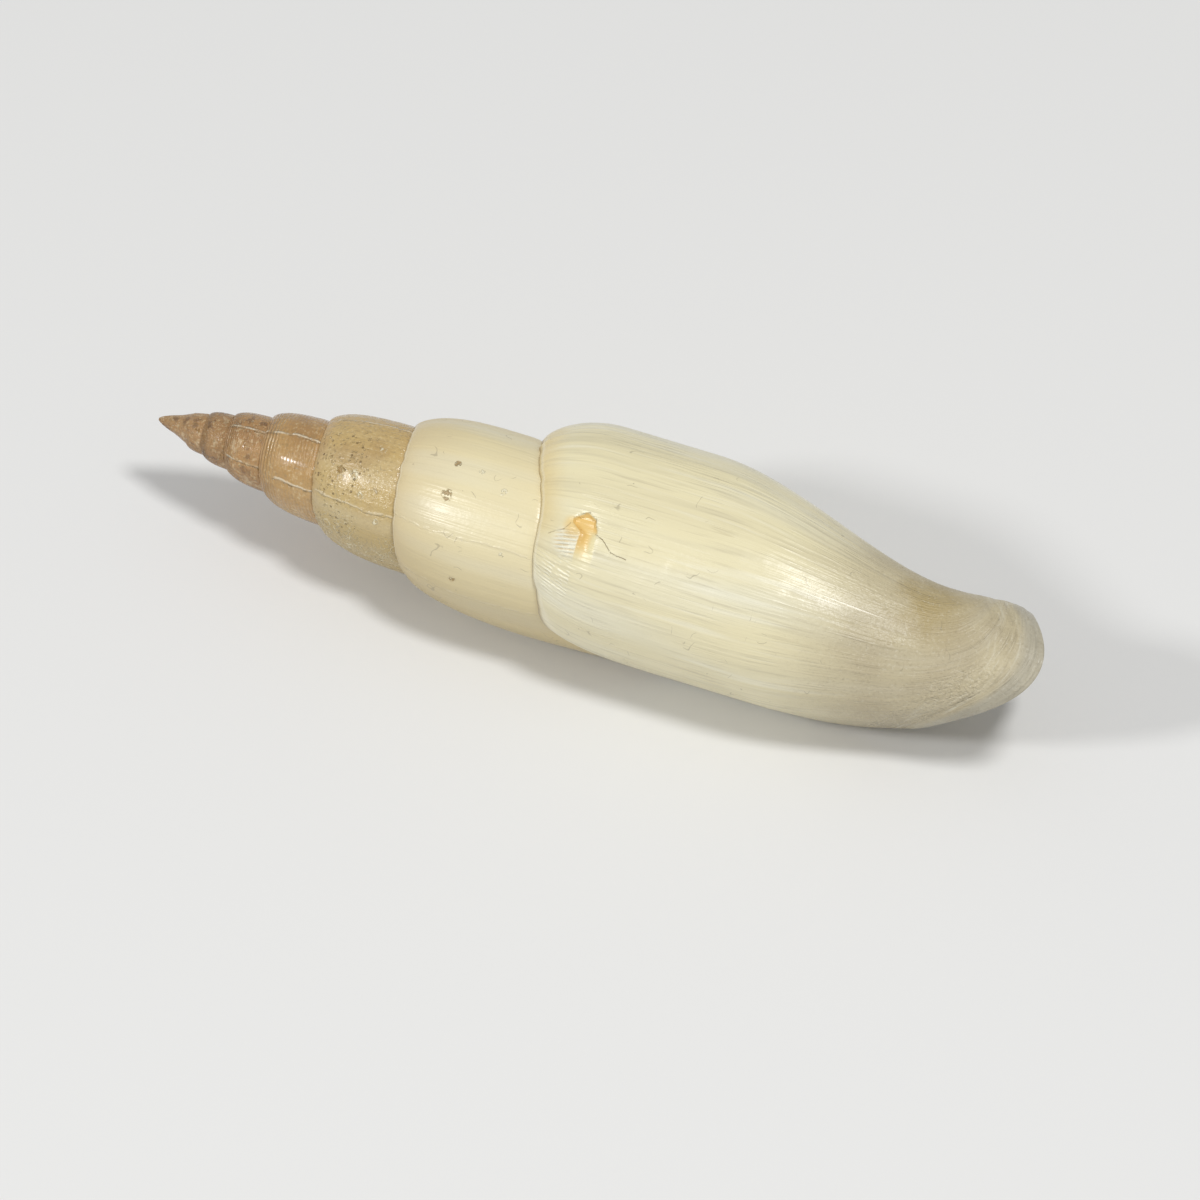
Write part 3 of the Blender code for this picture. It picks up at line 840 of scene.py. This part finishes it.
def patches(spots):
    """Frayed patches round places given by turn, share between sutures and radius in mm."""
    patch = 0.0
    for spot_turn, share_down, reach in spots:
        spot_x = mix(suture(spot_turn)[0], suture(spot_turn + 1)[0], share_down)
        spot = spot_of(spot_turn, spot_x, skin_radius(spot_turn, spot_x))
        gap = place.gap_to(spot) * 1000 + (mottle - 0.5) * 1.6
        patch = gap.rise(reach, reach * 0.4) + patch
    return patch


broken = patches(BROKEN) * grit.rise(0.44, 0.56)
tone = tone.stained(BROKEN_SKIN, broken * 0.75)
chips = patches(CHIPS) * grit.rise(0.56, 0.46)
tone = tone.stained(CHIP, chips * 0.60)
pit_kind = place.cells(PIT_SCALE, "Color").part("X")
etched = turn.rise(5.50, 5.58) * turn.rise(5.90, 5.74) * below.rise(0.46, 0.30)
pits = place.cells(PIT_SCALE).rise(0.45, 0.15) * pit_kind.rise(0.45, 0.50)
pits = pits * (etched + turn.rise(4.9, 4.2) * 0.5) * cloud.rise(0.34, 0.50)
tone = tone.stained(PIT, pits * pit_kind.rise(0.80, 0.86) * 0.8)
tone, edge = with_dirt_and_highlight(tone, place, turn, below, mottle)

# Spiral threads cross the growth lines, strongest below the sutures.
threads = (below * 210).wave() * (below.rise(0.20, 0.06) * 0.7 + 0.3)
threads = threads * turn.rise(5.3, 4.7) * turn.rise(1.5, 2.5)
rough = old * (1 - turn.rise(4.15, 4.40) * turn.rise(5.25, 5.0) * 0.85)
height = fine_lines * 0.060 + wide_lines * 0.060 + mottle * (rough * 0.200 + 0.030)
height = height + grit * (rough * 0.190 + 0.018) + threads * 0.080 + edge * 0.040
height = height + ridges * 0.120 + veins * 0.060 - shadowed_furrows * 0.070 - pits * 0.12
height = height - broken * 0.12 + chips * 0.10
rubbed = grit.rise(0.44, 0.60) * old
glaze = (1 - grit.rise(0.60, 0.50) * rough) * threads.rise(-0.45, 0.25) * (old * 0.75 + 0.10)
coat(worn_skin, tone, height, cloud * 0.08 - old * 0.09 - rubbed * 0.09 + 0.27,
     glaze * mottle.rise(0.40, 0.52))


# The body whorl: clean ivory, peach where its back springs from the suture.
REST_LINE = (0.34, 0.270, 0.150)
PEACH = (0.80, 0.640, 0.320)
SIPHON_HORN = (0.44, 0.370, 0.240)
YELLOW_STAIN = (0.42, 0.320, 0.130)
DARK_ARC = (0.34, 0.290, 0.190)
CHALK_ARC = (0.74, 0.710, 0.580)
RIM_EDGE = (0.47, 0.440, 0.350)
SIPHON_GRIT = (0.30, 0.240, 0.140)
SIPHON_CHALK = (0.80, 0.770, 0.640)

(place, x, turn, below, line, cloud, mottle, grit, wide_lines, fine_lines,
 tone) = grown_skin(ivory_skin)
rim_gap = place.node("ShaderNodeUVMap", {"uv_map": "line"}, {}, "UV").part("Y")
since_start = turn.rise(7.0, 7.3)
rests = (line * 60).beside(x * 9, 4.0).grain(1, 1)
rest_lines = abs(rests - 0.5).rise(0.010, 0.002) * cloud.rise(0.50, 0.64) * since_start
tone = tone.stained(REST_LINE, rest_lines * (turn.rise(7.58, 7.48) * 0.3 + 0.20))
tone = tone.stained(YOUNG_FLUSH, below.rise(0.09, 0.0) * turn.rise(7.3, 7.0) * 0.35)
peach = below.rise(0.09, 0.0) * turn.rise(7.30, 7.50) * turn.rise(7.72, 7.62)
tone = tone.stained(PEACH, peach * 0.80)

# The siphonal end: horn-coloured where the shell narrows, a yellow stain, a chalky rim.
siphon = x.rise(0.72 * LENGTH, 0.86 * LENGTH) * since_start
tone = tone.stained(SIPHON_HORN, siphon * (cloud * 0.5 + 0.52))
stain_x = 0.880 * LENGTH
stain = place.gap_to(spot_of(7.565, stain_x, skin_radius(7.565, stain_x))).rise(0.0075, 0.0010)
tone = tone.stained(YELLOW_STAIN, stain * cloud.rise(0.30, 0.62) * 0.80)
arched = rim_gap.rise(0.0100, 0.0030) * since_start
arcs = (rim_gap * 1500).beside(turn * 9, 2.0).grain(1, 2)
tone = tone.stained(DARK_ARC, arcs.rise(0.52, 0.72) * arched * 0.50)
tone = tone.stained(CHALK_ARC, arcs.rise(0.46, 0.28) * arched * 0.50)
tone = tone.stained(RIM_EDGE, rim_gap.rise(0.0034, 0.0018) * since_start * 0.7)
tone = tone.stained(SIPHON_GRIT, grit.rise(0.56, 0.70) * siphon * 0.22)
tone = tone.stained(SIPHON_CHALK, grit.rise(0.42, 0.26) * siphon * 0.20)

# The healed break: places in millimetres from its peak, along the shell and the growth.
HEALED_SKIN = (0.84, 0.740, 0.420)
ORANGE = (0.80, 0.530, 0.170)
DEEP_ORANGE = (0.66, 0.400, 0.110)
LUMP_HIGHLIGHT = (0.94, 0.910, 0.740)
SCAR_FLUSH = (0.84, 0.610, 0.250)
WRINKLE_SHADE = (0.72, 0.520, 0.220)
PLEAT_HIGHLIGHT = (0.94, 0.920, 0.760)
CRACK = (0.30, 0.200, 0.090)

scar_turn = TURNS + (SCAR_BEARING - LIP_BEARING) / (2 * math.pi)
along_scar = (x - SCAR_X) * 1000
since_peak = (turn - scar_turn) * (2 * math.pi * BODY_RADIUS * 1000)
wander = (cloud - 0.5) * 0.9 + (mottle - 0.5) * 0.5
left = wander * 0.2
for shift, low, high in RECESS_LEFT:
    left = left + since_peak.rise(low * 1000, high * 1000) * shift
right = RECESS_WIDTH
for shift, low, high in RECESS_RIGHT:
    right = right + since_peak.rise(low * 1000, high * 1000) * shift
in_left = along_scar - left
hollowed = in_left.rise(-0.10, 0.12) * (right - along_scar).rise(-0.15, 0.15)
hollowed = hollowed * since_peak.rise(-0.45, -0.15)
tone = tone.stained(HEALED_SKIN, hollowed * since_peak.rise(7.0, 4.0) * 0.8)
orange = hollowed * (1 - in_left.rise(0.9, 1.9) * since_peak.rise(1.4, 2.4))
tone = tone.stained(ORANGE, orange * since_peak.rise(6.0, 3.0) * 0.90)
tone = tone.stained(DEEP_ORANGE, orange * in_left.rise(1.1, 0.5)
                    * since_peak.rise(0.9, 1.8) * since_peak.rise(4.6, 2.6) * 0.55)
# The wrinkled lump is painted near-white and its wrinkles' troughs yellow, so the crests carry a
# painted highlight.
lump = along_scar.beside(since_peak).gap_to((-1.2, 3.7, 0)).rise(2.5, 1.0) * (1 - hollowed)
tone = tone.stained(LUMP_HIGHLIGHT, lump * 0.8)
flush = along_scar.beside(since_peak).gap_to((-0.9, 1.6, 0)).rise(2.0, 0.6) * (1 - hollowed)
tone = tone.stained(SCAR_FLUSH, flush * since_peak.rise(0.1, 0.9) * 0.85)
wrinkles = (since_peak * 1.923 + along_scar * 0.365 + wander * 0.45) * (2 * math.pi)
wrinkles = wrinkles.wave() * lump
tone = tone.stained(WRINKLE_SHADE, wrinkles.rise(0.0, -0.8) * mottle.rise(0.7, 0.4) * 0.6)
fan = along_scar.beside(since_peak).gap_to((-1.8, 9.0, 0)).rise(4.6, 1.5) * (1 - hollowed)
pleats = (since_peak * 1.9 - along_scar * 0.55 + wander * 1.2) * (2 * math.pi)
pleats = pleats.wave() * fan * mottle.rise(0.35, 0.60)
# The crests of the fanned folds are painted pale: a painted highlight.
tone = tone.stained(PLEAT_HIGHLIGHT, pleats.rise(0.0, 0.7) * 0.45)


def cracked(points, width):
    """Thin wandering cracks through places given from the peak of the healed break."""
    crack = 0.0
    for (p, q), (p_next, q_next) in zip(points, points[1:]):
        length = math.hypot(p_next - p, q_next - q)
        cosine, sine = (p_next - p) / length, (q_next - q) / length
        on = (along_scar - p) * cosine + (since_peak - q) * sine
        off = (since_peak - q) * cosine - (along_scar - p) * sine + wander * 0.6
        ends = on.rise(-width, 0) * on.rise(length + width, length)
        crack = abs(off).rise(width, width / 3) * ends + crack
    return crack


cracks = cracked(((1.8, 1.9), (2.8, 2.4), (4.3, 3.6), (5.1, 3.8), (6.2, 3.9)), 0.07)
cracks = cracks + cracked(((-1.5, 1.4), (-2.1, 2.4), (-4.0, 3.4)), 0.09) * 0.5
cracks = cracks + cracked(((-0.4, -0.15), (0.4, -0.38)), 0.12) * 0.9
cracks = cracks + cracked(((1.35, 0.3), (1.70, 1.1), (1.85, 1.8)), 0.10) * 0.6
tone = tone.stained(CRACK, cracks * mottle.rise(0.30, 0.55) * 0.70)
tone, edge = with_dirt_and_highlight(tone, place, turn, below, mottle)

uneven = cloud.rise(0.36, 0.64) * 0.8 + 0.4
height = fine_lines * uneven * 0.150 + wide_lines * 0.075 + mottle * 0.030
frost = rim_gap.rise(0.0030, 0.0045) * rim_gap.rise(0.0105, 0.0070) * turn.rise(7.62, 7.72)
height = height + grit * (siphon * 0.100 + frost * 0.20 + 0.010) + edge * 0.040
height = height + arcs * arched * 0.130
height = height + wrinkles * 0.045 + pleats * 0.030 - cracks * 0.08
coat(ivory_skin, tone, height, cloud * 0.08 + siphon * 0.06 - frost * 0.14 + 0.27,
     fine_lines.rise(0.50, 0.64) * 0.30)

# The lining: a smooth layer, clouded with horn.
finish = lining.node_tree
place = Signal(finish, finish.nodes.new("ShaderNodeTexCoord").outputs["Object"])
cloud = place.grain(120, 2)
tone = cloud.node("ShaderNodeValToRGB", {"stops": ((0.3, (0.76, 0.660, 0.480)),
                                                   (0.7, (0.84, 0.790, 0.660)))}, {0: cloud})
coat(lining, tone, place.grain(700, 1) * 0.02, cloud * 0.06 + 0.20, cloud * 0.4)

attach(shell, "root")
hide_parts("shell")


# Floor.  A sheet of pale matt board laid flat.  The shell only rests on it, and the board is
# a backdrop and no part of it.
FLOOR_SIZE = 6
BOARD_COLOUR = (0.80, 0.80, 0.79, 1)
BOARD_ROUGHNESS = 0.9
bpy.ops.object.select_all(action="DESELECT")
bpy.ops.mesh.primitive_plane_add(size=FLOOR_SIZE, location=(0, 0, 0))
floor = bpy.context.object
floor.name = "floor"
board = bpy.data.materials.new("pale board")
board.use_nodes = True
board_finish = board.node_tree.nodes["Principled BSDF"]
board_finish.inputs["Base Color"].default_value = BOARD_COLOUR
board_finish.inputs["Roughness"].default_value = BOARD_ROUGHNESS
floor.data.materials.append(board)


# Light.  Two soft round lamps, one high on the right and a weaker one lower on the left, in
# an even pale room.
VIEW_AZIMUTH = math.radians(23)
VIEW_ELEVATION = math.radians(45.2)
VIEW_DISTANCE = 2.50
VIEW_WIDTH = 0.1388
VIEW_CENTRE = Vector((0.523 * LENGTH, -0.049 * LENGTH, 0))
ROOM_LEVEL = 0.36


def toward(azimuth, elevation):
    """Direction from the shell, turned from -Y towards +X, and up from the floor."""
    level = math.cos(elevation)
    return Vector((math.sin(azimuth) * level, -math.cos(azimuth) * level, math.sin(elevation)))


def aim(item, place, target):
    item.location = place
    item.rotation_euler = (target - place).to_track_quat("-Z", "Y").to_euler()


target = Matrix.Rotation(REST_ROLL, 3, "X") @ VIEW_CENTRE + rest
LAMP_DISTANCE = 1.20
LAMPS = ((68, 67, 0.26, 0.47), (-40, 37, 0.20, 0.34))    # azimuth, elevation, size, level
for azimuth, elevation, size, level in LAMPS:
    bpy.ops.object.light_add(type="AREA")
    lamp = bpy.context.object
    lamp.data.shape = "DISK"
    lamp.data.size = size
    lamp.data.energy = level * math.pi ** 2 * LAMP_DISTANCE ** 2
    aim(lamp, target + toward(math.radians(azimuth), math.radians(elevation)) * LAMP_DISTANCE,
        target)

room = bpy.data.worlds.new("pale room")
bpy.context.scene.world = room
room.use_nodes = True
room.node_tree.nodes["Background"].inputs["Color"].default_value = (1, 1, 1, 1)
room.node_tree.nodes["Background"].inputs["Strength"].default_value = ROOM_LEVEL


# Camera.  A long lens, looking down on the shell's back.
SENSOR_WIDTH = 36
bpy.ops.object.camera_add()
camera = bpy.context.object
camera.data.sensor_width = SENSOR_WIDTH
camera.data.lens = SENSOR_WIDTH * VIEW_DISTANCE / VIEW_WIDTH
camera.data.clip_start = 0.01
aim(camera, target + toward(VIEW_AZIMUTH, VIEW_ELEVATION) * VIEW_DISTANCE, target)
bpy.context.scene.camera = camera
bpy.context.scene.view_settings.view_transform = "Standard"

bpy.context.view_layer.update()
